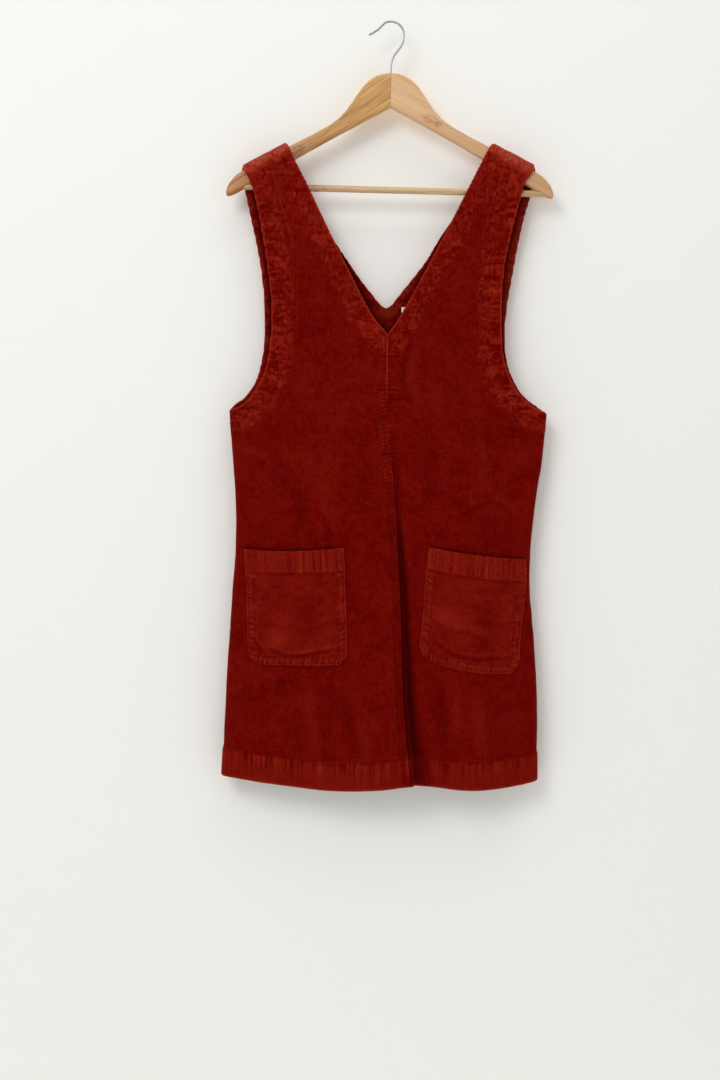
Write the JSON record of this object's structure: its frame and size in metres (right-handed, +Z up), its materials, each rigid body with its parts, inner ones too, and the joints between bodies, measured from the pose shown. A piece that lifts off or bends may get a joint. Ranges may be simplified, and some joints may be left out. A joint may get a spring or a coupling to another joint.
{
  "type": "pinafore dress on a hanger",
  "caption": "Sleeveless V-neck pinafore dress in thick-wale corduroy with patch pockets, hung flat on a wooden hanger with a round bar and a wire hook.",
  "frame": {"origin": "inner top of the hanger's hook, where a knob or rail carries everything", "axes": "+Z up, +X to the right as seen from the front, -Y out of the front of the dress"},
  "size_m": [0.452, 0.0643, 1.045],
  "materials": {
    "corduroy": "rust-red cotton corduroy, thick vertical wales, garment-washed",
    "label": "plain off-white woven tape",
    "wood_left": "golden varnished wood, satin",
    "wood_right": "paler varnished wood, satin",
    "wood_bar": "pale turned dowel, satin",
    "wire": "bright plated wire"
  },
  "bodies": {
    "root": {"front_left": "corduroy", "front_right": "corduroy", "back": "corduroy", "back_facing": "corduroy", "pocket_left": "corduroy", "pocket_right": "corduroy", "label": "label", "hanger_arm_left": "wood_left", "hanger_arm_right": "wood_right", "hanger_bar": "wood_bar", "hanger_hook": "wire"}
  },
  "joints": []
}
